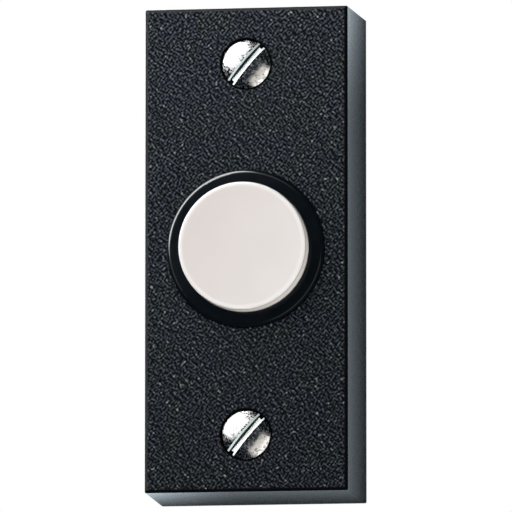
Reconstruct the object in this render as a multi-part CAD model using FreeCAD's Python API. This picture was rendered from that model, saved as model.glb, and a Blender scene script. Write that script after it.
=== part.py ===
"""Surface doorbell push: a drafted box housing, a round button in a bezel ring and a leaf switch.

Millimetres. The origin is the middle of the plane that lies on the wall (y = 0).
+X is right and +Z is up for someone who faces the push, and the button points to -Y.
Every place along the depth is worked out from the front face towards the wall.
"""
import FreeCAD, Part
import math
import os

from FreeCAD import Vector

# Housing
front_width = 32.0
front_height = 76.0
housing_depth = 18.0
draft_angle = 1.0
side_wall = 2.0
front_wall = 2.2
corner_radius = 0.25
front_edge_radius = 0.6
inner_corner_radius = 0.8
rib_thickness = 1.2
rib_setback = 3.0

# Button and its travel
button_diameter = 20.0
button_proud = 3.5
button_edge_radius = 0.35
button_wall = 1.5
button_top = 1.8
button_clearance = 0.15
button_flange_width = 1.2
button_flange_thickness = 1.2
button_travel = 1.5
overtravel_room = 0.5
stem_diameter = 5.0
stem_clearance = 0.1

# Bezel ring
bezel_ring_width = 2.2
bezel_proud = 0.9
bezel_edge_radius = 0.6
bezel_hole_clearance = 0.1
bezel_flange_width = 1.1
bezel_flange_corner_radius = 7.0
bezel_flange_thickness = 1.4

# Return spring
spring_mean_diameter = 8.0
spring_wire = 0.7
spring_turns = 4.0
spring_seat_height = 1.0
spring_seat_clearance = 0.25
spring_end_clearance = 0.02

# Switch carrier
carrier_thickness = 2.0
carrier_side_clearance = 0.35
carrier_corner_radius = 2.0
carrier_end_clearance = 0.6
cup_clearance = 0.5
cup_wall = 1.7
pad_height = 1.8
fence_thickness = 1.0
fence_height = 2.0
fence_clearance = 0.6
post_diameter = 5.0
peg_diameter = 2.4
peg_clearance = 0.1

# Contacts
leaf_thickness = 0.3
leaf_root_width = 5.6
leaf_end_width = 3.8
strip_thickness = 0.6
strip_width = 5.0
strip_bend_inside = 0.4
tip_diameter = 2.5
tip_height = 0.8
tip_edge_radius = 0.27
tip_shank_diameter = 1.2
closed_contact_gap = 0.02
sheet_hole_clearance = 0.05
end_overhang = 1.9

# Terminals
terminal_thread = 3.0
terminal_head_diameter = 5.5
terminal_head_height = 1.8
terminal_hole_clearance = 0.1
washer_side = 7.0
washer_thickness = 0.8
washer_corner_radius = 0.6
nut_side = 5.5
nut_thickness = 1.8
nut_pocket_clearance = 0.1
rivet_pitch = 5.3
rivet_shank_diameter = 2.0
rivet_head_diameter = 3.0
rivet_head_height = 0.4
rivet_bore = 1.1
rivet_edge_margin = 0.9

# Carrier screws
carrier_screw_diameter = 2.2
carrier_screw_length = 5.6
carrier_head_diameter = 4.2
carrier_head_height = 1.4
carrier_screw_clearance = 0.05
carrier_pilot_spare = 0.4

# Fixing screws: raised countersunk heads, one near each end of the face
screw_end_distance = 8.9
screw_length = 30.0
screw_shank_diameter = 4.0
screw_core_diameter = 2.9
screw_hole_clearance = 0.2
screw_head_diameter = 7.6
screw_head_rim = 0.12
screw_dome_height = 1.15
screw_point_length = 3.0
screw_slot_width = 0.75
screw_slot_depth = 1.75
slot_chamfer_width = 0.28
slot_chamfer_depth = 0.14
screw_slot_angle = 49.5
screw_rim_depth = 0.38
screw_recess_clearance = 0.3
screw_recess_depth = 0.85
screw_seat_clearance = 0.05
boss_wall = 2.1
boss_setback = 0.3

# Small screws' slots
small_slot_width = 0.7
small_slot_depth = 0.8
small_head_edge_radius = 0.4

# How far a cutting solid runs past the face that it opens
cut_margin = 1.0

# How closely a place or a direction has to agree to count as the same
place_tolerance = 1e-6
direction_tolerance = 0.01

# Places along the depth
wall_plane = 0.0
front_face = wall_plane - housing_depth
front_wall_back = front_face + front_wall
bezel_face = front_face - bezel_proud
bezel_back = front_wall_back + bezel_flange_thickness
button_face = bezel_face - button_proud
button_ceiling = button_face + button_top
button_flange_back = bezel_back + button_flange_thickness
carrier_front = button_flange_back + button_travel + overtravel_room
carrier_back = carrier_front + carrier_thickness
pad_back = carrier_back + pad_height
leaf_back = pad_back + leaf_thickness
moving_tip_back = leaf_back + tip_height
fixed_tip_front = moving_tip_back + button_travel + closed_contact_gap
strip_front = fixed_tip_front + tip_height
strip_back = strip_front + strip_thickness
low_strip_back = pad_back + strip_thickness

# Places across the face
button_radius = button_diameter / 2
bezel_bore_radius = button_radius + button_clearance
bezel_radius = bezel_bore_radius + bezel_ring_width
bezel_flange_half_height = bezel_radius + bezel_flange_width
button_flange_radius = button_radius + button_flange_width
cup_bore_radius = button_flange_radius + cup_clearance
stem_radius = stem_diameter / 2
spring_seat_radius = (spring_mean_diameter - spring_wire) / 2 - spring_seat_clearance
screw_z = front_height / 2 - screw_end_distance
shank_radius = screw_shank_diameter / 2
screw_hole_radius = shank_radius + screw_hole_clearance
boss_radius = screw_hole_radius + boss_wall
inner_half_width = front_width / 2 - side_wall
carrier_half_width = inner_half_width - carrier_side_clearance
carrier_half_height = screw_z - boss_radius - carrier_end_clearance
rivet_z = carrier_half_height - rivet_head_diameter / 2 - rivet_edge_margin
terminal_z = rivet_z - rivet_pitch
fence_half_width = washer_side / 2 + fence_clearance + fence_thickness
post_radius = post_diameter / 2
pilot_radius = carrier_screw_diameter / 2 + carrier_screw_clearance

# A carrier post stands halfway from fence to side wall, and from the bezel's flange to the carrier's end
post_x = (fence_half_width + inner_half_width) / 2
post_z = (bezel_flange_half_height + carrier_half_height) / 2


def cylinder(radius, y_from, y_to, x=0.0, z=0.0):
    """Round bar along the depth."""
    return Part.makeCylinder(radius, y_to - y_from, Vector(x, y_from, z), Vector(0, 1, 0))


def cone(radius_from, radius_to, y_from, y_to, x=0.0, z=0.0):
    """Taper along the depth."""
    return Part.makeCone(radius_from, radius_to, y_to - y_from, Vector(x, y_from, z), Vector(0, 1, 0))


def block(x_from, x_to, y_from, y_to, z_from, z_to):
    size = (x_to - x_from, y_to - y_from, z_to - z_from)
    return Part.makeBox(*size, Vector(x_from, y_from, z_from))


def slab(width, height, y_from, y_to, x=0.0, z=0.0):
    """Rectangular plate about a point of the face."""
    return block(x - width / 2, x + width / 2, y_from, y_to, z - height / 2, z + height / 2)


def runs_along(edge, axis):
    """Whether an edge is straight and lies mostly along one axis."""
    if not isinstance(edge.Curve, Part.Line):
        return False
    start, end = edge.Vertexes[0].Point, edge.Vertexes[-1].Point
    return abs((end - start).normalize().dot(axis)) > 1 - direction_tolerance


def at_depth(edge, y):
    """Whether a whole edge lies in the plane at one depth."""
    box = edge.BoundBox
    return abs(box.YMin - y) < place_tolerance and abs(box.YMax - y) < place_tolerance


def rounded_slab(width, height, radius, y_from, y_to, x=0.0, z=0.0):
    """Plate whose four corners are rounded in the plane of the face."""
    plate = slab(width, height, y_from, y_to, x, z)
    corners = [edge for edge in plate.Edges if runs_along(edge, Vector(0, 1, 0))]
    return plate.makeFillet(radius, corners)


def drafted_block(inset, y_from, y_to):
    """Block that grows towards the wall as the housing does, held inside its outline by the inset."""
    rings = []
    for y in (y_from, y_to):
        growth = (y - front_face) * math.tan(math.radians(draft_angle)) - inset
        half_x = front_width / 2 + growth
        half_z = front_height / 2 + growth
        corners = [(-half_x, -half_z), (half_x, -half_z), (half_x, half_z), (-half_x, half_z)]
        rings.append([Vector(cx, y, cz) for cx, cz in corners])
    near, far = rings
    outlines = [near, far]
    for i in range(4):
        j = (i + 1) % 4
        outlines.append([near[i], near[j], far[j], far[i]])
    faces = [Part.Face(Part.makePolygon(outline + outline[:1])) for outline in outlines]
    solid = Part.Solid(Part.Shell(faces))
    if solid.Volume < 0:
        solid.reverse()
    return solid


def ring_of_edges(solid, radius, y):
    """Full circles of one radius at one depth."""
    found = []
    for edge in solid.Edges:
        if isinstance(edge.Curve, Part.Circle) and at_depth(edge, y):
            if abs(edge.Curve.Radius - radius) < place_tolerance:
                found.append(edge)
    return found


def screw_places():
    """Height and sense of each fixing screw: top, then bottom."""
    return [("top", screw_z), ("bottom", -screw_z)]


def post_places():
    """The four carrier posts: the two that take a screw, then the two that carry a peg."""
    screwed = [(-post_x, post_z), (post_x, -post_z)]
    pegged = [(post_x, post_z), (-post_x, -post_z)]
    return screwed, pegged


def on_outer_corner(edge):
    """Whether an edge belongs to one of the four corners of the front, seen along the depth."""
    middle = edge.valueAt((edge.FirstParameter + edge.LastParameter) / 2)
    beyond_x = abs(middle.x) > front_width / 2 - front_edge_radius
    beyond_z = abs(middle.z) > front_height / 2 - front_edge_radius
    return beyond_x and beyond_z


def housing_skin():
    """Outer block less its hollow, with the rim of the front and the four corners rounded."""
    outer = drafted_block(0.0, front_face, wall_plane)
    rim = [edge for edge in outer.Edges if at_depth(edge, front_face)]
    outer = outer.makeFillet(front_edge_radius, rim)
    outer = outer.makeFillet(corner_radius, [edge for edge in outer.Edges if on_outer_corner(edge)])
    hollow = drafted_block(side_wall, front_wall_back, wall_plane + cut_margin)
    corners = [edge for edge in hollow.Edges if runs_along(edge, Vector(0, 1, 0))]
    hollow = hollow.makeFillet(inner_corner_radius, corners)
    return outer.cut(hollow)


def boss_with_ribs(z):
    """Pillar for one fixing screw, tied to the end wall and to both side walls by ribs."""
    root = front_wall_back - front_wall / 2
    pillar = cylinder(boss_radius, root, wall_plane - boss_setback, 0, z)
    sense = math.copysign(1.0, z)
    in_end_wall = sense * (front_height / 2 - side_wall / 2)
    in_side_wall = front_width / 2 - side_wall / 2
    rib_back = wall_plane - rib_setback
    half = rib_thickness / 2
    end_rib = block(-half, half, root, rib_back, min(z, in_end_wall), max(z, in_end_wall))
    side_ribs = block(-in_side_wall, in_side_wall, root, carrier_front, z - half, z + half)
    return pillar.fuse([end_rib, side_ribs])


def carrier_posts():
    """Four posts that the carrier lies on, two of them with a locating peg."""
    root = front_wall_back - front_wall / 2
    screwed, pegged = post_places()
    posts = [cylinder(post_radius, root, carrier_front, x, z) for x, z in screwed + pegged]
    pegs = [cylinder(peg_diameter / 2, root, carrier_back, x, z) for x, z in pegged]
    return posts + pegs


def screw_recess(z):
    """Recess, countersink and clearance hole for one fixing screw."""
    recess_radius = screw_head_diameter / 2 + screw_recess_clearance
    floor = front_face + screw_recess_depth
    head_radius_at_floor = screw_head_diameter / 2 - (screw_recess_depth - screw_rim_depth)
    seat_radius = head_radius_at_floor + screw_seat_clearance
    seat_end = floor + seat_radius - screw_hole_radius
    recess = cylinder(recess_radius, front_face - cut_margin, floor, 0, z)
    countersink = cone(seat_radius, screw_hole_radius, floor, seat_end, 0, z)
    hole = cylinder(screw_hole_radius, floor, wall_plane + cut_margin, 0, z)
    return [recess, countersink, hole]


def housing():
    """One moulding: box, screw bosses, ribs, carrier posts and the round hole for the bezel."""
    body = housing_skin()
    added = [boss_with_ribs(z) for _, z in screw_places()]
    body = body.fuse(added + carrier_posts())
    hole_radius = bezel_radius + bezel_hole_clearance
    cuts = [cylinder(hole_radius, front_face - cut_margin, front_wall_back)]
    for _, z in screw_places():
        cuts += screw_recess(z)
    pilot_depth = carrier_screw_length - carrier_thickness + carrier_pilot_spare
    for x, z in post_places()[0]:
        cuts.append(cylinder(pilot_radius, carrier_front - pilot_depth, carrier_front + cut_margin, x, z))
    return body.cut(cuts).removeSplitter()


def bezel_ring():
    """Ring seen round the button, and behind the wall a flange as wide as the inside, so it can't turn."""
    ring = cylinder(bezel_radius, bezel_face, front_wall_back)
    ring = ring.makeFillet(bezel_edge_radius, ring_of_edges(ring, bezel_radius, bezel_face))
    width, height = 2 * carrier_half_width, 2 * bezel_flange_half_height
    flange = rounded_slab(width, height, bezel_flange_corner_radius, front_wall_back, bezel_back)
    bore = cylinder(bezel_bore_radius, bezel_face - cut_margin, bezel_back + cut_margin)
    return ring.fuse(flange).cut(bore).removeSplitter()


def push_button():
    """Hollow cap with a stop flange, a spring seat and a stem that reaches the leaf."""
    cap = cylinder(button_radius, button_face, bezel_back)
    cap = cap.makeFillet(button_edge_radius, ring_of_edges(cap, button_radius, button_face))
    flange = cylinder(button_flange_radius, bezel_back, button_flange_back)
    hollow = cylinder(button_radius - button_wall, button_ceiling, button_flange_back + cut_margin)
    seat = cylinder(spring_seat_radius, button_ceiling, button_ceiling + spring_seat_height)
    stem = cylinder(stem_radius, button_ceiling, pad_back)
    return cap.fuse(flange).cut(hollow).fuse([seat, stem]).removeSplitter()


def return_spring():
    """Coil spring between the button's ceiling and the carrier, with both ends ground flat."""
    y_from = button_ceiling + spring_end_clearance
    y_to = carrier_front - spring_end_clearance
    mean_radius = spring_mean_diameter / 2
    pitch = (y_to - y_from) / spring_turns
    helix = Part.makeHelix(pitch, y_to - y_from, mean_radius)
    slope = math.atan2(pitch, 2 * math.pi * mean_radius)
    start = Vector(mean_radius, 0, 0)
    heading = Vector(0, math.cos(slope), math.sin(slope))
    section = Part.Wire([Part.makeCircle(spring_wire / 2, start, heading)])
    coil = Part.Wire(helix.Edges).makePipeShell([section], True, True)
    coil.rotate(Vector(0, 0, 0), Vector(1, 0, 0), -90)
    coil.translate(Vector(0, y_from, 0))
    reach = spring_mean_diameter + spring_wire
    return coil.common(slab(reach, reach, y_from, y_to))


def terminal_fence(sense):
    """Two low walls that keep the wire under its clamp washer."""
    outer = fence_half_width
    inner = outer - fence_thickness
    z_near = terminal_z - washer_side / 2
    z_far = carrier_half_height
    back = pad_back + fence_height
    walls = []
    for side in (-1, 1):
        x_pair = sorted((side * inner, side * outer))
        z_pair = sorted((sense * z_near, sense * z_far))
        walls.append(block(*x_pair, carrier_back, back, *z_pair))
    return walls


def terminal_pad(sense):
    """Raised land that holds a contact at the height of the stem's end."""
    z_pair = sorted((sense * (terminal_z - washer_side / 2), sense * carrier_half_height))
    return block(-fence_half_width, fence_half_width, carrier_back, pad_back, *z_pair)


def switch_carrier():
    """Moulded plate with a cup that clamps the bezel's flange and a land for each terminal."""
    plate = rounded_slab(
        2 * carrier_half_width, 2 * carrier_half_height, carrier_corner_radius, carrier_front, carrier_back
    )
    cup = cylinder(cup_bore_radius + cup_wall, bezel_back, carrier_front)
    cup = cup.common(slab(2 * carrier_half_width, front_height, bezel_back, carrier_front))
    well = cylinder(cup_bore_radius, bezel_back - cut_margin, carrier_front)
    guide = cylinder(spring_seat_radius, carrier_front - spring_seat_height, carrier_front)
    body = plate.fuse(cup.cut(well)).fuse(guide)
    for sense in (1, -1):
        body = body.fuse([terminal_pad(sense)] + terminal_fence(sense))
    stem_hole_radius = stem_radius + stem_clearance
    cuts = [cylinder(stem_hole_radius, bezel_back, carrier_back + cut_margin)]
    pocket_side = nut_side + 2 * nut_pocket_clearance
    pocket_floor = carrier_front + nut_thickness + nut_pocket_clearance
    for z in (terminal_z, -terminal_z):
        screw_radius = terminal_thread / 2 + terminal_hole_clearance
        cuts.append(cylinder(screw_radius, carrier_front, pad_back + cut_margin, 0, z))
        cuts.append(slab(pocket_side, pocket_side, carrier_front, pocket_floor, 0, z))
    for z in (rivet_z, -rivet_z):
        rivet_radius = rivet_shank_diameter / 2 + sheet_hole_clearance
        cuts.append(cylinder(rivet_radius, carrier_front - cut_margin, pad_back + cut_margin, 0, z))
    screwed, pegged = post_places()
    for x, z in screwed:
        cuts.append(cylinder(pilot_radius, carrier_front - cut_margin, carrier_back + cut_margin, x, z))
    for x, z in pegged:
        peg_hole = peg_diameter / 2 + peg_clearance
        cuts.append(cylinder(peg_hole, carrier_front - cut_margin, carrier_back + cut_margin, x, z))
    return body.cut(cuts).removeSplitter()


def sheet_holes(sense, y_from, y_to):
    """Screw and rivet holes at the root of a contact, and the hole for its tip."""
    screw_radius = terminal_thread / 2 + terminal_hole_clearance
    rivet_radius = rivet_shank_diameter / 2 + sheet_hole_clearance
    tip_radius = tip_shank_diameter / 2 + sheet_hole_clearance
    return [
        cylinder(screw_radius, y_from, y_to, 0, sense * terminal_z),
        cylinder(rivet_radius, y_from, y_to, 0, sense * rivet_z),
        cylinder(tip_radius, y_from, y_to, 0, 0),
    ]


def moving_contact():
    """Leaf that is fixed at the upper terminal and tapers to a round end under the stem."""
    root_half, end_half = leaf_root_width / 2, leaf_end_width / 2
    taper_from = terminal_z - washer_side / 2
    root_end = rivet_z + end_overhang
    outline = [
        Vector(-end_half, pad_back, 0),
        Vector(-root_half, pad_back, taper_from),
        Vector(-root_half, pad_back, root_end),
        Vector(root_half, pad_back, root_end),
        Vector(root_half, pad_back, taper_from),
        Vector(end_half, pad_back, 0),
    ]
    blade = Part.Face(Part.makePolygon(outline + outline[:1])).extrude(Vector(0, leaf_thickness, 0))
    leaf = blade.fuse(cylinder(end_half, pad_back, leaf_back))
    holes = sheet_holes(1, pad_back - cut_margin, leaf_back + cut_margin)
    return leaf.cut(holes).removeSplitter()


def rounded_path(points, radius):
    """Open line through the points with every bend rounded."""
    edges = []
    start = points[0]
    for before, corner, after in zip(points, points[1:], points[2:]):
        back = (before - corner).normalize()
        ahead = (after - corner).normalize()
        half_turn = (math.pi - back.getAngle(ahead)) / 2
        run = radius * math.tan(half_turn)
        sag = radius / math.cos(half_turn) - radius
        arc_start, arc_end = corner + back * run, corner + ahead * run
        middle = corner + (back + ahead).normalize() * sag
        edges.append(Part.LineSegment(start, arc_start).toShape())
        edges.append(Part.Arc(arc_start, middle, arc_end).toShape())
        start = arc_end
    edges.append(Part.LineSegment(start, points[-1]).toShape())
    return Part.Wire(edges)


def fixed_contact():
    """Strip that is fixed at the lower terminal and cranked to stand behind the leaf."""
    half = strip_width / 2
    bend_radius = strip_thickness + strip_bend_inside
    root_end = -(rivet_z + end_overhang)
    bend_low = -(terminal_z - washer_side / 2 - bend_radius)
    bend_high = bend_low + strip_front - pad_back
    front_line = rounded_path(
        [
            Vector(-half, pad_back, root_end),
            Vector(-half, pad_back, bend_low),
            Vector(-half, strip_front, bend_high),
            Vector(-half, strip_front, half),
        ],
        bend_radius,
    )
    side_face = front_line.makeOffset2D(strip_thickness, 0, True, True)
    bent = side_face.extrude(Vector(strip_width, 0, 0))
    y_from, y_to = pad_back - cut_margin, strip_back + cut_margin
    plan = block(-half, half, y_from, y_to, root_end, 0).fuse(cylinder(half, y_from, y_to))
    return bent.common(plan).cut(sheet_holes(-1, y_from, y_to)).removeSplitter()


def contact_tip(shank_from, shank_to, head_from, head_to, face):
    """Contact rivet: a shank through the sheet and a head with a rounded contact face."""
    head = cylinder(tip_diameter / 2, head_from, head_to)
    head = head.makeFillet(tip_edge_radius, ring_of_edges(head, tip_diameter / 2, face))
    shank = cylinder(tip_shank_diameter / 2, shank_from, shank_to)
    return head.fuse(shank).removeSplitter()


def moving_contact_tip():
    return contact_tip(pad_back, leaf_back, leaf_back, moving_tip_back, moving_tip_back)


def fixed_contact_tip():
    return contact_tip(strip_front, strip_back, fixed_tip_front, strip_front, fixed_tip_front)


def small_screw(diameter, length, head_diameter, head_height, seat_y, x, z, point_length=0.0):
    """Slotted pan head screw whose head lies towards the wall."""
    head_radius = head_diameter / 2
    head_back = seat_y + head_height
    head = cylinder(head_radius, seat_y, head_back)
    head = head.makeFillet(small_head_edge_radius, ring_of_edges(head, head_radius, head_back))
    shank_end = seat_y - length
    shank = cylinder(diameter / 2, shank_end + point_length, seat_y)
    screw = head.fuse(shank)
    if point_length > 0:
        screw = screw.fuse(cone(0.0, diameter / 2, shank_end, shank_end + point_length))
    slot_floor = head_back - small_slot_depth
    slot = slab(head_diameter + cut_margin, small_slot_width, slot_floor, head_back + cut_margin)
    screw = screw.cut(slot).removeSplitter()
    screw.translate(Vector(x, 0, z))
    return screw


def washer_seat(sense):
    """Back of the contact that a clamp washer lies on: the leaf above, the strip below."""
    return leaf_back if sense > 0 else low_strip_back


def terminal_screw(sense):
    seat = washer_seat(sense) + washer_thickness
    nut_front = carrier_front + nut_pocket_clearance
    return small_screw(
        terminal_thread, seat - nut_front, terminal_head_diameter, terminal_head_height,
        seat, 0, sense * terminal_z,
    )


def clamp_washer(sense):
    """Square washer that holds the wire against the contact."""
    seat = washer_seat(sense)
    z = sense * terminal_z
    plate = rounded_slab(washer_side, washer_side, washer_corner_radius, seat, seat + washer_thickness, 0, z)
    hole_radius = terminal_thread / 2 + terminal_hole_clearance
    return plate.cut(cylinder(hole_radius, seat - cut_margin, seat + washer_thickness + cut_margin, 0, z))


def terminal_nut(sense):
    """Square nut in its pocket at the front of the carrier."""
    z = sense * terminal_z
    front = carrier_front + nut_pocket_clearance
    nut = slab(nut_side, nut_side, front, front + nut_thickness, 0, z)
    hole_radius = terminal_thread / 2 + sheet_hole_clearance
    return nut.cut(cylinder(hole_radius, front - cut_margin, front + nut_thickness + cut_margin, 0, z))


def tubular_rivet(sheet_back, z):
    """Hollow rivet with one head on the contact and one on the front of the carrier."""
    shank = cylinder(rivet_shank_diameter / 2, carrier_front, sheet_back, 0, z)
    heads = [
        cylinder(rivet_head_diameter / 2, carrier_front - rivet_head_height, carrier_front, 0, z),
        cylinder(rivet_head_diameter / 2, sheet_back, sheet_back + rivet_head_height, 0, z),
    ]
    y_from = carrier_front - rivet_head_height
    y_to = sheet_back + rivet_head_height
    bore = cylinder(rivet_bore / 2, y_from - cut_margin, y_to + cut_margin, 0, z)
    return shank.fuse(heads).cut(bore).removeSplitter()


def carrier_screw(x, z):
    return small_screw(
        carrier_screw_diameter, carrier_screw_length, carrier_head_diameter, carrier_head_height,
        carrier_back, x, z, carrier_screw_diameter / 2,
    )


def slot_edges_on_dome(screw, rim_front):
    """The two curved edges along a slot that still runs along X."""
    found = []
    for edge in screw.Edges:
        box = edge.BoundBox
        in_slot_side = abs(abs(box.ZMin) - screw_slot_width / 2) < place_tolerance
        level = box.ZMax - box.ZMin < place_tolerance
        curved = isinstance(edge.Curve, Part.Circle)
        if in_slot_side and level and curved and box.YMin < rim_front:
            found.append(edge)
    return found


def chamfer_slot_edge(screw, edge):
    """Chamfers one long edge of the slot, wide on the dome and shallow on the slot's side."""
    # The first size is measured on the first of the edge's two faces
    first_face = next(face for face in screw.Faces if any(own.isSame(edge) for own in face.Edges))
    sizes = [slot_chamfer_width, slot_chamfer_depth]
    if isinstance(first_face.Surface, Part.Plane):
        sizes.reverse()
    return screw.makeChamfer(*sizes, [edge])


def fixing_screw(z):
    """Raised countersunk woodscrew with a slot whose two long edges are chamfered."""
    head_radius = screw_head_diameter / 2
    core_radius = screw_core_diameter / 2
    rim_back = front_face + screw_rim_depth
    rim_front = rim_back - screw_head_rim
    apex = rim_front - screw_dome_height
    neck = rim_back + head_radius - shank_radius
    tip = rim_front + screw_length
    dome_radius = (head_radius**2 + screw_dome_height**2) / (2 * screw_dome_height)
    half_x = head_radius / 2
    half_y = apex + dome_radius - math.sqrt(dome_radius**2 - half_x**2)
    dome = Part.Arc(Vector(0, apex, 0), Vector(half_x, half_y, 0), Vector(head_radius, rim_front, 0))
    corners = [
        Vector(head_radius, rim_front, 0),
        Vector(head_radius, rim_back, 0),
        Vector(shank_radius, neck, 0),
        Vector(shank_radius, wall_plane, 0),
        Vector(core_radius, wall_plane, 0),
        Vector(core_radius, tip - screw_point_length, 0),
        Vector(0, tip, 0),
        Vector(0, apex, 0),
    ]
    profile = Part.Face(Part.Wire([dome.toShape()] + Part.makePolygon(corners).Edges))
    screw = profile.revolve(Vector(0, 0, 0), Vector(0, 1, 0), 360)
    slot_length = screw_head_diameter + cut_margin
    slot = slab(slot_length, screw_slot_width, apex - cut_margin, apex + screw_slot_depth)
    screw = screw.cut(slot)
    for edge in slot_edges_on_dome(screw, rim_front):
        screw = chamfer_slot_edge(screw, edge)
    screw.rotate(Vector(0, 0, 0), Vector(0, 1, 0), -screw_slot_angle)
    screw.translate(Vector(0, 0, z))
    return screw


def all_pieces():
    """Every sub-part by name."""
    pieces = {
        "housing": housing(),
        "bezel_ring": bezel_ring(),
        "push_button": push_button(),
        "return_spring": return_spring(),
        "switch_carrier": switch_carrier(),
        "moving_contact": moving_contact(),
        "moving_contact_tip": moving_contact_tip(),
        "fixed_contact": fixed_contact(),
        "fixed_contact_tip": fixed_contact_tip(),
        "leaf_rivet": tubular_rivet(leaf_back, rivet_z),
        "strip_rivet": tubular_rivet(low_strip_back, -rivet_z),
    }
    for name, sense in (("upper", 1), ("lower", -1)):
        pieces["terminal_screw_" + name] = terminal_screw(sense)
        pieces["clamp_washer_" + name] = clamp_washer(sense)
        pieces["terminal_nut_" + name] = terminal_nut(sense)
    for name, place in zip(("left", "right"), post_places()[0]):
        pieces["carrier_screw_" + name] = carrier_screw(*place)
    for name, z in screw_places():
        pieces["fixing_screw_" + name] = fixing_screw(z)
    return pieces


def main():
    os.makedirs("parts", exist_ok=True)
    for name, shape in all_pieces().items():
        shape.exportStep(os.path.join("parts", name + ".step"))


main()
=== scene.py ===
"""Doorbell push button: finishes, screw threads, contact leaf cut into strips and spring, light and
camera.

Metres. The wall plane is y = 0, +X is right, +Z is up and the button points to -Y.
"""

import math

import bmesh
import bpy
from mathutils import Matrix, Vector


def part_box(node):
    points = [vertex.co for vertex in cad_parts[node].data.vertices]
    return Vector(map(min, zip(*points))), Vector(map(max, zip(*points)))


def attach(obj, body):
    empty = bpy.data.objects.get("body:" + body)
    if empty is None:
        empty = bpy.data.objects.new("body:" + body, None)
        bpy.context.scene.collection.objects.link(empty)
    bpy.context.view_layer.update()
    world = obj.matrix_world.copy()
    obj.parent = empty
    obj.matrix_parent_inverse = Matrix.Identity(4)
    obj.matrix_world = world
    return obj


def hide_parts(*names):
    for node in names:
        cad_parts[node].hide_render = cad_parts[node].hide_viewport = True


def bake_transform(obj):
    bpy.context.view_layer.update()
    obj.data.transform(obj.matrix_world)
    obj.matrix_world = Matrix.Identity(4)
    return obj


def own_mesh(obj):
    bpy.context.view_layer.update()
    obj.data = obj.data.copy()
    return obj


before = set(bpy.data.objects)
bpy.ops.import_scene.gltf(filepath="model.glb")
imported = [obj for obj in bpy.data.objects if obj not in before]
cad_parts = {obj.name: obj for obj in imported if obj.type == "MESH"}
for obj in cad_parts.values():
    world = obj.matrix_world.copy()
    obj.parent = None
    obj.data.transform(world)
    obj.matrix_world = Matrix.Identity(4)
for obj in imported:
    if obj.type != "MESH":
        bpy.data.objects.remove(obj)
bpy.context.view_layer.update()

MM = 0.001

# Camera: where it stands from the part, and the lens for a 36 mm sensor
CAMERA_AZIMUTH = math.radians(9.03)
CAMERA_ELEVATION = math.radians(-7.215)
CAMERA_ROLL = math.radians(0.025)
CAMERA_DISTANCE = 1.5
CAMERA_AIM = Vector((0.163 * MM, -9.0 * MM, -0.02 * MM))
CAMERA_LENS = 673.1
SENSOR_WIDTH = 36.0

# Places taken from the solids
HOUSING_LOW, HOUSING_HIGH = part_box("housing")
FRONT_FACE = HOUSING_LOW.y
SCREW_LOW, SCREW_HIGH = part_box("fixing_screw_top")
SCREW_HEIGHT = (SCREW_LOW.z + SCREW_HIGH.z) / 2
BUTTON_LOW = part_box("push_button")[0]
SPRING_LOW, SPRING_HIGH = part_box("return_spring")
LEAF_LOW, LEAF_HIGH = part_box("moving_contact")

# Sizes that the solids have but their boxes don't tell
BUTTON_RADIUS = 10.0 * MM
BUTTON_FILLET = 0.35 * MM
SLOT_FLOOR = SCREW_LOW.y + 1.75 * MM
SLOT_ANGLE = math.radians(49.5)


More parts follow.
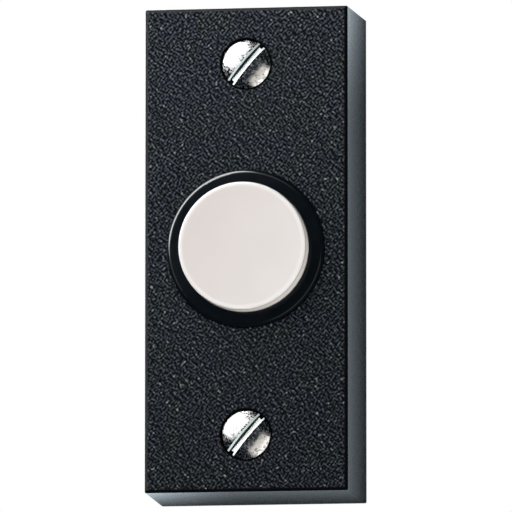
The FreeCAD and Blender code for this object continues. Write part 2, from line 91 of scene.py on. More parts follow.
class Finish:
    """A material's node graph, with a short call for each kind of node."""

    def __init__(self, name):
        self.material = bpy.data.materials.new(name)
        self.material.use_nodes = True
        self.nodes = self.material.node_tree.nodes
        self.links = self.material.node_tree.links
        self.shader = self.nodes["Principled BSDF"]
        self.place = self.nodes.new("ShaderNodeTexCoord").outputs["Object"]

    def feed(self, socket, value):
        """Links a node's output to a socket, or sets a plain value on it."""
        if isinstance(value, bpy.types.NodeSocket):
            self.links.new(value, socket)
        else:
            socket.default_value = value

    def set(self, **values):
        """Sets the shader's own sockets; underscores in a name stand for spaces."""
        for name, value in values.items():
            socket = self.shader.inputs[name.replace("_", " ")]
            self.feed(socket, value)

    def noise(self, size, detail=2.0, roughness=0.5, place=None):
        """Noise whose grains are about as large as size, in metres."""
        node = self.nodes.new("ShaderNodeTexNoise")
        self.feed(node.inputs["Vector"], place or self.place)
        node.inputs["Scale"].default_value = 1.0 / size
        node.inputs["Detail"].default_value = detail
        node.inputs["Roughness"].default_value = roughness
        return node.outputs["Fac"]

    def stretched(self, factors, turn=0.0):
        """The place, turned about the depth and scaled along each axis."""
        return self.mapped((0.0, turn, 0.0), factors)

    def moved(self, offset):
        """The place, moved by an offset."""
        node = self.nodes.new("ShaderNodeVectorMath")
        node.operation = "ADD"
        self.feed(node.inputs[0], self.place)
        self.feed(node.inputs[1], offset)
        return node.outputs["Vector"]

    def mapped(self, turns, factors=(1.0, 1.0, 1.0), place=None):
        """The place, turned about each axis and then scaled."""
        node = self.nodes.new("ShaderNodeMapping")
        self.feed(node.inputs["Vector"], place or self.place)
        node.inputs["Rotation"].default_value = turns
        node.inputs["Scale"].default_value = factors
        return node.outputs["Vector"]

    def math(self, operation, first, second=0.0):
        """One step of arithmetic."""
        node = self.nodes.new("ShaderNodeMath")
        node.operation = operation
        self.feed(node.inputs[0], first)
        self.feed(node.inputs[1], second)
        return node.outputs["Value"]

    def axis(self, name):
        """One coordinate of the place."""
        node = self.nodes.new("ShaderNodeSeparateXYZ")
        self.feed(node.inputs["Vector"], self.place)
        return node.outputs[name]

    def aside(self, name):
        """Distance from the part's middle along one axis."""
        return self.math("ABSOLUTE", self.axis(name))

    def length(self, first, second):
        """Length of the line that two coordinates make."""
        squares = [self.math("MULTIPLY", value, value) for value in (first, second)]
        return self.math("SQRT", self.math("ADD", *squares))

    def forward(self):
        """How far the surface itself faces out of the wall: 1 in front, 0 on the sides, -1 behind."""
        node = self.nodes.new("ShaderNodeSeparateXYZ")
        geometry = self.nodes.new("ShaderNodeNewGeometry")
        self.feed(node.inputs["Vector"], geometry.outputs["True Normal"])
        return self.math("MULTIPLY", node.outputs["Y"], -1.0)

    def spread(self, value, low, high, out_low=0.0, out_high=1.0):
        """Maps low..high to out_low..out_high, held at the ends."""
        node = self.nodes.new("ShaderNodeMapRange")
        self.feed(node.inputs["Value"], value)
        node.inputs["From Min"].default_value = low
        node.inputs["From Max"].default_value = high
        node.inputs["To Min"].default_value = out_low
        node.inputs["To Max"].default_value = out_high
        return node.outputs["Result"]

    def mix(self, factor, first, second):
        """Mixes two colours."""
        node = self.nodes.new("ShaderNodeMix")
        node.data_type = "RGBA"
        self.feed(node.inputs[0], factor)
        self.feed(node.inputs[6], rgba(first))
        self.feed(node.inputs[7], rgba(second))
        return node.outputs[2]

    def blend(self, factor, first, second):
        """Mixes two plain numbers."""
        node = self.nodes.new("ShaderNodeMix")
        node.data_type = "FLOAT"
        self.feed(node.inputs[0], factor)
        self.feed(node.inputs[2], first)
        self.feed(node.inputs[3], second)
        return node.outputs[0]

    def bump(self, height, depth, strength=1.0, under=None):
        """Relief: height 0..1 stands for depth in metres."""
        node = self.nodes.new("ShaderNodeBump")
        node.inputs["Strength"].default_value = strength
        node.inputs["Distance"].default_value = depth
        self.feed(node.inputs["Height"], height)
        if under is not None:
            self.feed(node.inputs["Normal"], under)
        return node.outputs["Normal"]


def rgba(colour):
    """A colour with its alpha, or a node's output as it is."""
    if isinstance(colour, bpy.types.NodeSocket):
        return colour
    return (*colour, 1.0)


GRAIN_SIZE = 0.36 * MM
GRAIN_STEP = 0.30 * MM
GRAIN_LOW = -0.46
GRAIN_HIGH = 0.69
GRAIN_POWER = 2.0
GRAIN_TURNS = (0.6, 0.9, 0.4)
# Painted shade: where the grain turns to its dark colour round each screw head
SCREW_SHADE_RING = (4.0 * MM, 4.25 * MM)
INNER_WALL = (1.1 * MM, 1.3 * MM)
INNER_DEPTH = (2.0 * MM, 2.2 * MM)


def crisp_grain(finish, size, step):
    """Noise less the same noise one step away on two sides, which takes its broad patches out."""
    here = finish.noise(size, 0.0, 0.5, finish.mapped(GRAIN_TURNS))
    around = []
    for offset in ((step, 0.0, 0.0), (0.0, 0.0, step)):
        place = finish.mapped(GRAIN_TURNS, place=finish.moved(offset))
        around.append(finish.noise(size, 0.0, 0.5, place))
    return finish.math("SUBTRACT", finish.math("MULTIPLY", here, 2.0), finish.math("ADD", *around))


def near_screw(finish):
    """Distance from the axis of the nearer fixing screw."""
    height = finish.math("SUBTRACT", finish.aside("Z"), SCREW_HEIGHT)
    return finish.length(finish.axis("X"), height)


def inside_housing(finish, forward):
    """1 on the housing's inner faces and its back rim, 0 on the faces that show on the wall."""
    inner = []
    for name, edge in (("X", HOUSING_HIGH.x), ("Z", HOUSING_HIGH.z)):
        inner.append(finish.spread(finish.aside(name), *[edge - inset for inset in INNER_WALL]))
    within = finish.math("MULTIPLY", *inner)
    behind = finish.spread(finish.axis("Y"), *[FRONT_FACE + depth for depth in INNER_DEPTH])
    facing_back = finish.spread(forward, -0.3, -0.6)
    return finish.math("MAXIMUM", finish.math("MULTIPLY", within, behind), facing_back)


def grained_plastic():
    """Black moulding: speckled grain on the front with painted glints, painted light that falls off
    towards the lower right and painted shade round the screws; smoother sides and rim, plain walls
    inside.
    """
    finish = Finish("grained_black_plastic")
    forward = finish.forward()
    on_front = finish.spread(forward, 0.985, 0.999)
    on_side = finish.spread(finish.math("ABSOLUTE", forward), 0.30, 0.10)
    fine = finish.noise(0.21 * MM, 0.0, 0.5, finish.mapped((1.1, 0.3, 0.8)))
    speckle = finish.spread(crisp_grain(finish, GRAIN_SIZE, GRAIN_STEP), GRAIN_LOW, GRAIN_HIGH)
    broad = finish.noise(9.0 * MM, 2.0, 0.5)
    # Painted light: the grain's colours get lighter towards the upper left and darker towards the
    # lower right, blended with a broad random drift
    from_left = finish.math("MULTIPLY", finish.axis("X"), 0.8)
    towards_light = finish.math("SUBTRACT", finish.axis("Z"), from_left)
    painted_light_falloff = finish.spread(towards_light, -30.0 * MM, 30.0 * MM)
    matt = finish.blend(0.25, painted_light_falloff, broad)
    tint = finish.spread(finish.noise(5.0 * MM, 1.0, 0.5), 0.44, 0.56)
    dull = finish.mix(tint, (0.060, 0.078, 0.086), (0.062, 0.072, 0.095))
    bright = finish.mix(tint, (0.106, 0.138, 0.152), (0.109, 0.127, 0.172))
    # Painted glints: sparse pale flecks mixed into the grain's light colour
    painted_glints = finish.spread(finish.noise(0.55 * MM, 0.0, 0.5), 0.66, 0.78)
    light = finish.mix(painted_glints, finish.mix(matt, dull, bright), (0.33, 0.36, 0.37))
    dark = finish.mix(matt, (0.0015, 0.0024, 0.0034), (0.0004, 0.0008, 0.0014))
    # Painted shade in the countersink round each screw
    speckle = finish.math("MULTIPLY", speckle, finish.spread(near_screw(finish), *SCREW_SHADE_RING))
    # The grain's colour follows its relief: over its own tone, the light tips are partly painted
    # glints and the dark pits partly painted shade
    sharp = finish.math("POWER", speckle, GRAIN_POWER)
    front_colour = finish.mix(sharp, dark, light)
    mottled = finish.blend(0.35, finish.spread(finish.noise(0.9 * MM, 2.0), 0.38, 0.62), fine)
    side_colour = finish.mix(mottled, (0.002, 0.0028, 0.0034), (0.021, 0.026, 0.030))
    outer = finish.mix(on_side, (0.0016, 0.0022, 0.0028), side_colour)
    flow = finish.noise(3.0 * MM, 3.0, 0.6)
    plain = finish.mix(flow, (0.026, 0.028, 0.031), (0.038, 0.041, 0.045))
    rim_or_side = finish.mix(inside_housing(finish, forward), outer, plain)
    relief_front = finish.math("MULTIPLY", speckle, on_front)
    relief_side = finish.math("MULTIPLY", finish.math("MULTIPLY", fine, on_side), 0.30)
    side_gloss = finish.blend(mottled, 0.30, 0.14)
    rim_roughness = finish.blend(on_side, 0.50, side_gloss)
    waves = finish.bump(finish.math("MULTIPLY", finish.noise(1.1 * MM, 2.0), on_side), 0.04 * MM)
    finish.set(
        Base_Color=finish.mix(on_front, rim_or_side, front_colour),
        Roughness=finish.blend(on_front, rim_roughness, 0.27),
        Normal=finish.bump(finish.math("ADD", relief_front, relief_side), 0.036 * MM, 1.0, waves),
    )
    finish.shader.inputs["Specular IOR Level"].default_value = 0.04
    return finish.material


def gloss_black():
    """Polished black plastic of the bezel ring."""
    finish = Finish("gloss_black_plastic")
    drift = finish.noise(3.0 * MM, 3.0, 0.55)
    finish.set(
        Base_Color=finish.mix(drift, (0.0022, 0.0044, 0.0066), (0.0042, 0.0064, 0.0086)),
        Roughness=finish.spread(drift, 0.3, 0.7, 0.10, 0.15),
        Normal=finish.bump(finish.noise(1.4 * MM, 2.0), 0.003 * MM),
    )
    finish.shader.inputs["Specular IOR Level"].default_value = 0.18
    return finish.material


# Painted highlight: the pale band along the face's edge and the colour it takes
BUTTON_HIGHLIGHT_BAND = (0.85 * MM, 0.42 * MM)
# Painted shade: the stretch of side wall below the fillet that is painted darker
BUTTON_SIDE_SHADE = (BUTTON_FILLET, 1.5 * MM)
BUTTON_PAINTED_HIGHLIGHT = (0.97, 0.955, 0.94)


def button_plastic():
    """Off-white cap with a soft gloss, a painted highlight along its edge, painted shade down its
    side and painted light across its face, with a faint drift in its colour.
    """
    finish = Finish("off_white_plastic")
    drift = finish.noise(7.0 * MM, 2.0, 0.5)
    # Painted light: the face is lighter towards the lower right and darker towards the upper left,
    # blended with a random drift
    from_above = finish.math("MULTIPLY", finish.axis("Z"), 0.6)
    sideways = finish.math("SUBTRACT", finish.axis("X"), from_above)
    across = finish.blend(0.3, finish.spread(sideways, -9.0 * MM, 11.0 * MM), drift)
    radius = finish.length(finish.axis("X"), finish.axis("Z"))
    band = [BUTTON_RADIUS - inset for inset in BUTTON_HIGHLIGHT_BAND]
    # Painted highlight: the face turns pale towards its edge
    painted_rim_highlight = finish.spread(radius, *band, 0.0, 0.80)
    drifting_face_with_painted_light = finish.mix(across, (0.740, 0.680, 0.662), (0.900, 0.865, 0.838))
    face = finish.mix(painted_rim_highlight, drifting_face_with_painted_light, BUTTON_PAINTED_HIGHLIGHT)
    forward = finish.forward()
    on_edge = finish.spread(forward, 0.985, 0.93)
    # Painted shade: the side wall is darker just below the fillet and lighter towards the ring
    depth = finish.spread(finish.axis("Y"), *[BUTTON_LOW.y + down for down in BUTTON_SIDE_SHADE])
    wall = finish.mix(depth, (0.62, 0.59, 0.57), (0.96, 0.94, 0.92))
    # Painted highlight on the upper fillet, over the side wall below
    edge = finish.mix(finish.spread(forward, 0.35, 0.05), BUTTON_PAINTED_HIGHLIGHT, wall)
    finish.set(
        Base_Color=finish.mix(on_edge, face, edge),
        Roughness=finish.spread(finish.noise(0.8 * MM, 3.0), 0.3, 0.7, 0.34, 0.44),
        Normal=finish.bump(finish.noise(0.35 * MM, 2.0), 0.003 * MM),
    )
    finish.shader.inputs["Specular IOR Level"].default_value = 0.30
    return finish.material


def carrier_plastic():
    """Natural moulding with faint flow marks."""
    finish = Finish("natural_plastic")
    flow = finish.noise(2.5 * MM, 4.0, 0.6, finish.stretched((1.0, 1.0, 0.35)))
    finish.set(
        Base_Color=finish.mix(flow, (0.50, 0.455, 0.37), (0.62, 0.575, 0.48)),
        Roughness=finish.spread(flow, 0.3, 0.7, 0.42, 0.55),
        Normal=finish.bump(finish.noise(0.4 * MM, 2.0), 0.006 * MM),
    )
    return finish.material


LINE_SIZE = 0.12 * MM
LINE_STRETCH = (1.0, 1.0, 0.06)


def metal(name, dark, light, roughness, line_depth):
    """Worked metal: drifting colour, uneven gloss and fine lines from rolling or turning."""
    finish = Finish(name)
    drift = finish.noise(1.6 * MM, 3.0, 0.6)
    lines = finish.noise(LINE_SIZE, 2.0, 0.6, finish.stretched(LINE_STRETCH))
    finish.set(
        Base_Color=finish.mix(drift, dark, light),
        Roughness=finish.spread(drift, 0.3, 0.7, roughness, roughness + 0.14),
        Normal=finish.bump(lines, line_depth),
    )
    finish.shader.inputs["Metallic"].default_value = 1.0
    return finish.material


# Fixing screws: distances from the front face, the slot's floor, its middle line and its middle
HEAD_DEPTH = (0.9 * MM, 0.5 * MM)
FLOOR_REACH = (0.15 * MM, 0.05 * MM)
CHAMFER_REACH = (0.70 * MM, 0.63 * MM)
UPPER_LEFT = (0.1 * MM, -0.1 * MM)
WALL_SHADOW = (-0.22 * MM, -0.27 * MM)
SLOT_LIP = 0.78 * MM
LIP_REACH = (0.17 * MM, 0.09 * MM)
END_ALONG = (1.8 * MM, 2.3 * MM)
END_ACROSS = (0.75 * MM, 0.9 * MM)
SCRATCH_TURN = math.radians(-40.0)


def slot_place(finish):
    """Distance along the slot from the nearer screw's axis, and across it to the lower right."""
    side = finish.math("SIGN", finish.axis("Z"))
    height = finish.math("SUBTRACT", finish.axis("Z"), finish.math("MULTIPLY", side, SCREW_HEIGHT))
    level, steep = math.cos(SLOT_ANGLE), math.sin(SLOT_ANGLE)
    along_x = finish.math("MULTIPLY", finish.axis("X"), level)
    along = finish.math("ADD", along_x, finish.math("MULTIPLY", height, steep))
    across_x = finish.math("MULTIPLY", finish.axis("X"), steep)
    across = finish.math("SUBTRACT", across_x, finish.math("MULTIPLY", height, level))
    return finish.math("ABSOLUTE", along), across


def plated_screw():
    """Bright plated steel: worn and stained dome; matt slot with painted highlights on its floor and
    chamfers, painted shadow on the floor beside its upper-left wall and painted shade on its walls.
    """
    finish = Finish("bright_plated_steel")
    drift = finish.noise(1.1 * MM, 4.0, 0.62)
    scratched = finish.stretched((1.0, 1.0, 0.12), SCRATCH_TURN)
    scratches = finish.noise(0.16 * MM, 3.0, 0.65, scratched)
    dents = finish.noise(0.55 * MM, 2.0, 0.55)
    on_head = finish.spread(finish.axis("Y"), *[FRONT_FACE + depth for depth in HEAD_DEPTH])
    blotches = finish.spread(finish.noise(0.50 * MM, 3.0, 0.6), 0.56, 0.66)
    stains = finish.math("MULTIPLY", on_head, blotches)
    scuffs = finish.spread(finish.noise(0.42 * MM, 3.0, 0.6), 0.44, 0.66)
    from_floor = finish.math("SUBTRACT", finish.axis("Y"), SLOT_FLOOR)
    at_floor = finish.spread(finish.math("ABSOLUTE", from_floor), *FLOOR_REACH)
    forward = finish.forward()
    on_floor = finish.math("MULTIPLY", finish.spread(forward, 0.97, 0.999), at_floor)
    sideways = finish.spread(finish.math("ABSOLUTE", forward), 0.10, 0.02)
    on_wall = finish.math("MULTIPLY", sideways, finish.spread(from_floor, *FLOOR_REACH))
    metal_colour = finish.mix(drift, (0.50, 0.50, 0.50), (0.62, 0.62, 0.61))
    stained = finish.mix(stains, metal_colour, (0.20, 0.23, 0.25))
    along, signed_across = slot_place(finish)
    across = finish.math("ABSOLUTE", signed_across)
    on_chamfer = finish.spread(across, *CHAMFER_REACH)
    sloping = finish.spread(forward, 0.30, 0.50)
    on_cut = finish.math("MULTIPLY", finish.math("MULTIPLY", on_chamfer, on_head), sloping)
    # Painted highlights: the slot's chamfers are pale and matt, the lower-right one near white and
    # the upper-left one dimmer and greenish
    upper_left = finish.spread(signed_across, *UPPER_LEFT)
    painted_chamfer_highlights = finish.mix(upper_left, (0.80, 0.87, 0.86), (0.36, 0.43, 0.42))
    cut = finish.mix(on_chamfer, stained, painted_chamfer_highlights)
    lip = finish.math("SUBTRACT", across, SLOT_LIP)
    on_lip = finish.spread(finish.math("ABSOLUTE", lip), *LIP_REACH)
    nicks = finish.math("MULTIPLY", on_lip, finish.spread(finish.noise(0.34 * MM, 1.0), 0.49, 0.54))
    end_along, end_across = finish.spread(along, *END_ALONG), finish.spread(across, *END_ACROSS)
    near_ends = finish.math("MULTIPLY", end_along, end_across)
    flecks = finish.spread(finish.noise(0.26 * MM, 2.0), 0.50, 0.56)
    specks = finish.math("MULTIPLY", near_ends, flecks)
    marks = finish.math("MULTIPLY", on_head, finish.math("MAXIMUM", nicks, specks))
    marked = finish.mix(marks, cut, (0.0015, 0.0025, 0.0035))
    # Painted shade: the slot walls are near black
    painted_dark_walls = finish.mix(on_wall, marked, (0.010, 0.022, 0.022))
    # Painted highlight and painted shadow: the slot floor is near-white and matt, and dark beside the
    # upper-left wall
    painted_wall_shadow = finish.spread(signed_across, *WALL_SHADOW)
    floor_painted_light_and_shadow = finish.mix(painted_wall_shadow, (0.95, 0.96, 0.96), (0.02, 0.045, 0.045))
    matt = finish.math("MAXIMUM", finish.math("MAXIMUM", on_floor, on_wall), on_cut)
    dome_roughness = finish.blend(scuffs, 0.15, 0.40)
    slot_roughness = finish.blend(on_wall, 0.38, 0.90)
    finish.set(
        Base_Color=finish.mix(on_floor, painted_dark_walls, floor_painted_light_and_shadow),
        Metallic=finish.math("SUBTRACT", 1.0, matt),
        Roughness=finish.blend(matt, dome_roughness, slot_roughness),
        Normal=finish.bump(scratches, 0.0025 * MM, 1.0, finish.bump(dents, 0.012 * MM, 1.0)),
    )
    return finish.material


def dress(finishes):
    """Gives each node the finish of its piece."""
    for names, material in finishes:
        for name in names:
            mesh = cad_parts[name].data
            mesh.materials.clear()
            mesh.materials.append(material)
            for polygon in mesh.polygons:
                polygon.material_index = 0


def mesh_piece(name, points, faces, material, body):
    """New mesh piece that rides on a body."""
    mesh = bpy.data.meshes.new(name)
    mesh.from_pydata([tuple(point) for point in points], [], faces)
    mesh.validate()
    mesh.materials.append(material)
    piece = bpy.data.objects.new(name, mesh)
    bpy.context.scene.collection.objects.link(piece)
    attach(piece, body)
    return piece


def swept_loops(loops):
    """Points and faces of a closed skin through equal loops, capped at both ends."""
    count = len(loops[0])
    points = [point for loop in loops for point in loop]
    faces = []
    for row in range(len(loops) - 1):
        for i in range(count):
            j = (i + 1) % count
            this, following = row * count, (row + 1) * count
            faces.append((this + i, this + j, following + j, following + i))
    faces.append(tuple(reversed(range(count))))
    last = (len(loops) - 1) * count
    faces.append(tuple(range(last, last + count)))
    return points, faces


def smooth(piece, angle):
    """Smooth shading that keeps edges sharper than the angle."""
    for polygon in piece.data.polygons:
        polygon.use_smooth = True
    piece.data.set_sharp_from_angle(angle=angle)


def outward(piece):
    """Turns every face outwards."""
    shape = bmesh.new()
    shape.from_mesh(piece.data)
    bmesh.ops.recalc_face_normals(shape, faces=shape.faces)
    shape.to_mesh(piece.data)
    shape.free()


THREAD_PITCH = 1.75 * MM
THREAD_HALF_BASE = 0.42 * MM
THREAD_HALF_CREST = 0.05 * MM
THREAD_ROOT_SINK = 0.06 * MM
THREAD_STEPS = 40
THREAD_START = 0.0
THREAD_BARE_POINT = 0.25
THREAD_FADE = 12.0
POINT_LENGTH = 3.0 * MM
CORE_RADIUS = 1.45 * MM
SHANK_RADIUS = 2.0 * MM


def screw_thread(name, node, material):
    """Woodscrew thread: one ridge that winds round the core and runs out on the point."""
    low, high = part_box(node)
    centre_z = (low.z + high.z) / 2
    tip = high.y
    length = tip - THREAD_BARE_POINT * POINT_LENGTH - THREAD_START
    turns = length / THREAD_PITCH
    count = int(turns * THREAD_STEPS)
    loops = []
    for i in range(count + 1):
        share = i / count
        y = THREAD_START + share * length
        taper = min(1.0, (tip - y) / POINT_LENGTH)
        core = CORE_RADIUS * taper
        fade = min(1.0, share * THREAD_FADE)
        crest = core + (SHANK_RADIUS - CORE_RADIUS) * (0.25 + 0.75 * taper) * fade
        root = max(core - THREAD_ROOT_SINK, 0.02 * MM)
        angle = 2 * math.pi * turns * share
        across = Vector((math.cos(angle), 0.0, math.sin(angle)))
        half = THREAD_HALF_BASE * (0.4 + 0.6 * taper)
        loop = []
        for radius, shift in (
            (root, -half), (crest, -THREAD_HALF_CREST), (crest, THREAD_HALF_CREST), (root, half)
        ):
            loop.append(across * radius + Vector((0.0, y + shift, centre_z)))
        loops.append(loop)
    points, faces = swept_loops(loops)
    thread = mesh_piece(name, points, faces, material, "case")
    outward(thread)
    smooth(thread, math.radians(40.0))


SPRING_TURNS = 4.0
SPRING_MEAN_RADIUS = 4.0 * MM
SPRING_WIRE_RADIUS = 0.35 * MM
SPRING_FLAT_TURNS = 0.3
SPRING_STEPS = 56
WIRE_SIDES = 14


def coil_spring(material):
    """Round wire wound between the button's ceiling and the carrier."""
    y_from = SPRING_LOW.y + SPRING_WIRE_RADIUS
    y_to = SPRING_HIGH.y - SPRING_WIRE_RADIUS
    count = int(SPRING_TURNS * SPRING_STEPS)
    loops = []
    for i in range(count + 1):
        turn = SPRING_TURNS * i / count
        share = (turn - SPRING_FLAT_TURNS) / (SPRING_TURNS - 2 * SPRING_FLAT_TURNS)
        rise = min(max(share, 0.0), 1.0)
        angle = 2 * math.pi * turn
        out = Vector((math.cos(angle), 0.0, math.sin(angle)))
        centre = out * SPRING_MEAN_RADIUS + Vector((0.0, y_from + rise * (y_to - y_from), 0.0))
        loop = []
        for k in range(WIRE_SIDES):
            round_angle = 2 * math.pi * k / WIRE_SIDES
            loop.append(
                centre
                + out * (SPRING_WIRE_RADIUS * math.cos(round_angle))
                + Vector((0.0, SPRING_WIRE_RADIUS * math.sin(round_angle), 0.0))
            )
        loops.append(loop)
    points, faces = swept_loops(loops)
    spring = mesh_piece("spring_coil", points, faces, material, "case")
    outward(spring)
    smooth(spring, math.radians(50.0))
    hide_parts("return_spring")
    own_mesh(spring)


LEAF_CUTS = 28


def bending_leaf(material):
    """The leaf's own solid, cut into strips between its root and the stem."""
    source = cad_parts["moving_contact"]
    shape = bmesh.new()
    shape.from_mesh(source.data)
    span = LEAF_HIGH.z - LEAF_LOW.z
    for i in range(1, LEAF_CUTS):
        place = Vector((0.0, 0.0, LEAF_LOW.z + span * i / LEAF_CUTS))
        geometry = shape.verts[:] + shape.edges[:] + shape.faces[:]
        bmesh.ops.bisect_plane(shape, geom=geometry, plane_co=place, plane_no=Vector((0, 0, 1)))
    mesh = bpy.data.meshes.new("contact_leaf")
    shape.to_mesh(mesh)
    shape.free()
    mesh.materials.clear()
    mesh.materials.append(material)
    leaf = bpy.data.objects.new("contact_leaf", mesh)
    bpy.context.scene.collection.objects.link(leaf)
    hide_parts("moving_contact")
    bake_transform(leaf)


def area_light(
    name, azimuth, elevation, distance, across, along, radiance, colour, matt=True, gloss=True
):
    """Soft light that looks at the part. Its length points to the front; power follows radiance."""
    data = bpy.data.lights.new(name, "AREA")
    data.shape = "RECTANGLE"
    data.size = across
    data.size_y = along
    data.energy = radiance * math.pi * across * along
    data.color = colour
    lamp = bpy.data.objects.new(name, data)
    bpy.context.scene.collection.objects.link(lamp)
    a, e = math.radians(azimuth), math.radians(elevation)
    back = Vector((math.sin(a) * math.cos(e), -math.cos(a) * math.cos(e), math.sin(e)))
    front = Vector((0.0, -1.0, 0.0))
    inward = (front - back * front.dot(back)).normalized()
    turn = Matrix((inward.cross(back), inward, back)).transposed().to_4x4()
    lamp.matrix_world = Matrix.Translation(back * distance) @ turn
    lamp.visible_camera = False
    lamp.visible_diffuse = matt
    lamp.visible_glossy = gloss
    return lamp


def only_on(lamp, nodes):
    """Limits a lamp to some nodes, as a screen between lamp and subject does."""
    group = bpy.data.collections.new("lit_by_" + lamp.name)
    for node in nodes:
        group.objects.link(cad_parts[node])
    lamp.light_linking.receiver_collection = group


FILL = (0.255, 0.255, 0.26, 1.0)
DIM_FRONT = (0.014, 0.022, 0.034, 1.0)
PALE_BACK = (0.48, 0.48, 0.48, 1.0)
WHITE = (1.0, 1.0, 1.0, 1.0)
BACK_FROM = 0.10
BACK_TO = 0.80


def studio_world():
    """White to the camera, even fill for matt surfaces, a dim room with a pale back for gloss."""
    world = bpy.data.worlds.new("studio")
    bpy.context.scene.world = world
    world.use_nodes = True
    nodes, links = world.node_tree.nodes, world.node_tree.links
    nodes.clear()
    split = nodes.new("ShaderNodeSeparateXYZ")
    links.new(nodes.new("ShaderNodeTexCoord").outputs["Generated"], split.inputs[0])
    behind = nodes.new("ShaderNodeMapRange")
    links.new(split.outputs["Y"], behind.inputs["Value"])
    behind.inputs["From Min"].default_value = BACK_FROM
    behind.inputs["From Max"].default_value = BACK_TO
    room = nodes.new("ShaderNodeMix")
    room.data_type = "RGBA"
    links.new(behind.outputs["Result"], room.inputs[0])
    room.inputs[6].default_value = DIM_FRONT
    room.inputs[7].default_value = PALE_BACK
    path = nodes.new("ShaderNodeLightPath")
    by_gloss = nodes.new("ShaderNodeMix")
    by_gloss.data_type = "RGBA"
    links.new(path.outputs["Is Glossy Ray"], by_gloss.inputs[0])
    by_gloss.inputs[6].default_value = FILL
    links.new(room.outputs[2], by_gloss.inputs[7])
    by_camera = nodes.new("ShaderNodeMix")
    by_camera.data_type = "RGBA"
    links.new(path.outputs["Is Camera Ray"], by_camera.inputs[0])
    links.new(by_gloss.outputs[2], by_camera.inputs[6])
    by_camera.inputs[7].default_value = WHITE
    sky = nodes.new("ShaderNodeBackground")
    links.new(by_camera.outputs[2], sky.inputs["Color"])
    out = nodes.new("ShaderNodeOutputWorld")
    links.new(sky.outputs[0], out.inputs["Surface"])


FLOOR_HEIGHT = -1.2
FLOOR_HALF = 4.0


def pale_floor():
    """Plain floor well below the part, white to the camera."""
    mesh = bpy.data.meshes.new("floor")
    half = FLOOR_HALF
    corners = [(-half, -half, FLOOR_HEIGHT), (half, -half, FLOOR_HEIGHT), (half, half, FLOOR_HEIGHT)]
    corners.append((-half, half, FLOOR_HEIGHT))
    mesh.from_pydata(corners, [], [(0, 1, 2, 3)])
    material = bpy.data.materials.new("pale_floor")
    material.use_nodes = True
    nodes, links = material.node_tree.nodes, material.node_tree.links
    shader = nodes["Principled BSDF"]
    shader.inputs["Base Color"].default_value = (0.8, 0.8, 0.8, 1.0)
    shader.inputs["Roughness"].default_value = 0.9
    white = nodes.new("ShaderNodeEmission")
    path = nodes.new("ShaderNodeLightPath")
    pick = nodes.new("ShaderNodeMixShader")
    links.new(path.outputs["Is Camera Ray"], pick.inputs[0])
    links.new(shader.outputs[0], pick.inputs[1])
    links.new(white.outputs[0], pick.inputs[2])
    links.new(pick.outputs[0], nodes["Material Output"].inputs["Surface"])
    mesh.materials.append(material)
    floor = bpy.data.objects.new("floor", mesh)
    bpy.context.scene.collection.objects.link(floor)
    floor.visible_glossy = False


# Glowing card: painted shadow next to the part, a painted bright band a little away, and painted
# light that is stronger above and to the left
CARD_HALF = 0.16
CARD_TINT = (0.86, 1.0, 1.10, 1.0)
CARD_GAP = 0.05 * MM
CARD_SHADE_WIDTH = 4.5 * MM
CARD_NEAR = 0.035
CARD_FAR = 0.66
CARD_EDGE = 2.0
CARD_BAND = (CARD_SHADE_WIDTH, 6.5 * MM)
CARD_FADE = (13.0 * MM, 10.0 * MM)
CARD_BEYOND = 0.05
CARD_UPPER = (20.0 * MM, 38.0 * MM)
CARD_UPPER_GAIN = 1.9
CARD_LEFT = (-1.5 * MM, -17.5 * MM)
CARD_LEFT_GAIN = 3.0


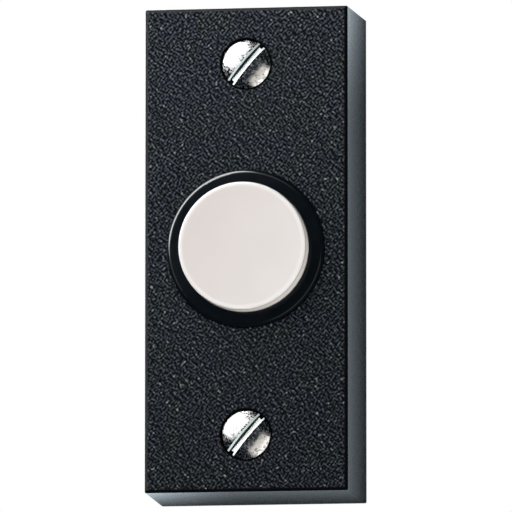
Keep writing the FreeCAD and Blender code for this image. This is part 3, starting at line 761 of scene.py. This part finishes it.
def wall_card():
    """Glowing card in the wall plane with a hole for the part: painted shadow near it and a painted
    bright band a little away.

    Only reflections see it, where they would see a wall. Its painted light is stronger above and to
    the left.
    """
    hx, hz = HOUSING_HIGH.x + CARD_GAP, HOUSING_HIGH.z + CARD_GAP
    y = CARD_GAP
    inner = [(-hx, y, -hz), (hx, y, -hz), (hx, y, hz), (-hx, y, hz)]
    outer = [(-CARD_HALF, y, -CARD_HALF), (CARD_HALF, y, -CARD_HALF), (CARD_HALF, y, CARD_HALF)]
    outer.append((-CARD_HALF, y, CARD_HALF))
    faces = [(i, (i + 1) % 4, 4 + (i + 1) % 4, 4 + i) for i in range(4)]
    mesh = bpy.data.meshes.new("wall_card")
    mesh.from_pydata(inner + outer, [], faces)
    finish = Finish("card_with_painted_shadow")
    beside = finish.math("SUBTRACT", finish.aside("X"), HOUSING_HIGH.x)
    above = finish.math("SUBTRACT", finish.aside("Z"), HOUSING_HIGH.z)
    away = finish.math("MAXIMUM", beside, above)
    glow = finish.nodes.new("ShaderNodeEmission")
    glow.inputs["Color"].default_value = CARD_TINT
    # Painted shadow next to the part, then a painted bright band, with the glow fading far off
    shade = finish.spread(away, 0.0, CARD_SHADE_WIDTH, CARD_NEAR, CARD_FAR)
    beyond = finish.spread(away, *CARD_FADE, CARD_BEYOND, 1.0)
    level = finish.math("MULTIPLY", shade, beyond)
    band = finish.math(
        "MULTIPLY", finish.spread(away, *CARD_BAND), finish.spread(away, *CARD_FADE)
    )
    glow_level = finish.math("ADD", level, finish.math("MULTIPLY", band, CARD_EDGE))
    upward = finish.math("POWER", finish.spread(finish.axis("Z"), *CARD_UPPER), 2.0)
    leftward = finish.math("POWER", finish.spread(finish.axis("X"), *CARD_LEFT), 2.0)
    upper_gain = finish.math("MULTIPLY", upward, CARD_UPPER_GAIN)
    left_gain = finish.math("MULTIPLY", leftward, CARD_LEFT_GAIN)
    gain = finish.math("ADD", upper_gain, left_gain)
    lit = finish.math("MULTIPLY", glow_level, finish.math("ADD", gain, 1.0))
    finish.links.new(lit, glow.inputs["Strength"])
    finish.links.new(glow.outputs[0], finish.nodes["Material Output"].inputs["Surface"])
    mesh.materials.append(finish.material)
    card = bpy.data.objects.new("wall_card", mesh)
    bpy.context.scene.collection.objects.link(card)
    card.visible_camera = False
    card.visible_diffuse = False
    card.visible_shadow = False
    card.visible_transmission = False


def place_camera():
    """Camera at the photograph's viewing angle, from the right and a little below."""
    a, e = CAMERA_AZIMUTH, CAMERA_ELEVATION
    back = Vector((math.sin(a) * math.cos(e), -math.cos(a) * math.cos(e), math.sin(e)))
    level_right = Vector((math.cos(a), math.sin(a), 0.0))
    level_up = back.cross(level_right)
    right = level_right * math.cos(CAMERA_ROLL) + level_up * math.sin(CAMERA_ROLL)
    up = level_up * math.cos(CAMERA_ROLL) - level_right * math.sin(CAMERA_ROLL)
    data = bpy.data.cameras.new("camera")
    data.sensor_width = SENSOR_WIDTH
    data.lens = CAMERA_LENS
    camera = bpy.data.objects.new("camera", data)
    bpy.context.scene.collection.objects.link(camera)
    turn = Matrix((right, up, back)).transposed().to_4x4()
    camera.matrix_world = Matrix.Translation(CAMERA_AIM + back * CAMERA_DISTANCE) @ turn
    bpy.context.scene.camera = camera


bronze = metal("phosphor_bronze", (0.56, 0.34, 0.18), (0.70, 0.46, 0.26), 0.26, 0.003 * MM)
brass = metal("brass", (0.66, 0.50, 0.22), (0.80, 0.64, 0.32), 0.24, 0.003 * MM)
zinc = metal("zinc_plated_steel", (0.60, 0.60, 0.58), (0.74, 0.74, 0.71), 0.24, 0.003 * MM)
silver = metal("silver_alloy", (0.80, 0.79, 0.76), (0.90, 0.89, 0.86), 0.18, 0.002 * MM)
steel_wire = metal("spring_steel", (0.42, 0.43, 0.45), (0.56, 0.57, 0.59), 0.26, 0.002 * MM)
screw_plating = plated_screw()

FIXING_SCREWS = ["fixing_screw_top", "fixing_screw_bottom"]
dress([
    (["housing"], grained_plastic()),
    (["bezel_ring"], gloss_black()),
    (["push_button"], button_plastic()),
    (["switch_carrier"], carrier_plastic()),
    (["fixed_contact"], bronze),
    (["leaf_rivet", "strip_rivet", "terminal_nut_upper", "terminal_nut_lower"], brass),
    (["clamp_washer_upper", "clamp_washer_lower"], brass),
    (["moving_contact_tip", "fixed_contact_tip"], silver),
    (["terminal_screw_upper", "terminal_screw_lower"], zinc),
    (["carrier_screw_left", "carrier_screw_right"], zinc),
    (FIXING_SCREWS, screw_plating),
])

for end_name in ("top", "bottom"):
    screw_thread("screw_thread_" + end_name, "fixing_screw_" + end_name, screw_plating)
coil_spring(steel_wire)
bending_leaf(bronze)

pale_floor()
wall_card()
studio_world()
area_light("key_panel", -38.0, 32.0, 0.32, 0.50, 0.427, 1.75, (1.0, 0.995, 0.99))
strip_place = (-56.0, 40.0, 0.72, 0.95, 0.60)
strip_colour = (0.98, 0.99, 1.0)
edge_strip = area_light("edge_strip", *strip_place, 34.0, strip_colour, matt=False)
screw_strip = area_light("screw_strip", *strip_place, 1.8, strip_colour, matt=False)
slot_light = area_light(
    "slot_light", -24.0, -27.0, 1.0, 0.5, 0.5, 14.0, (1.0, 1.0, 1.0), gloss=False
)
only_on(edge_strip, ["housing", "bezel_ring", "push_button"])
for lamp in (screw_strip, slot_light):
    only_on(lamp, FIXING_SCREWS)
area_light("warm_fill", 64.0, -42.0, 1.0, 1.1, 0.62, 3.4, (1.0, 0.95, 0.90), gloss=False)
area_light("beige_panel", 30.7, -23.6, 1.0, 1.1, 0.46, 1.05, (1.0, 0.94, 0.87), matt=False)
area_light("rim_strip", 43.5, -29.5, 1.0, 1.1, 0.24, 1.4, (1.0, 0.97, 0.93), matt=False)
area_light("back_panel", 180.0, 15.0, 0.8, 0.9, 0.9, 1.35, (1.0, 0.99, 0.98), gloss=False)
place_camera()

bpy.context.scene.view_settings.view_transform = "Standard"
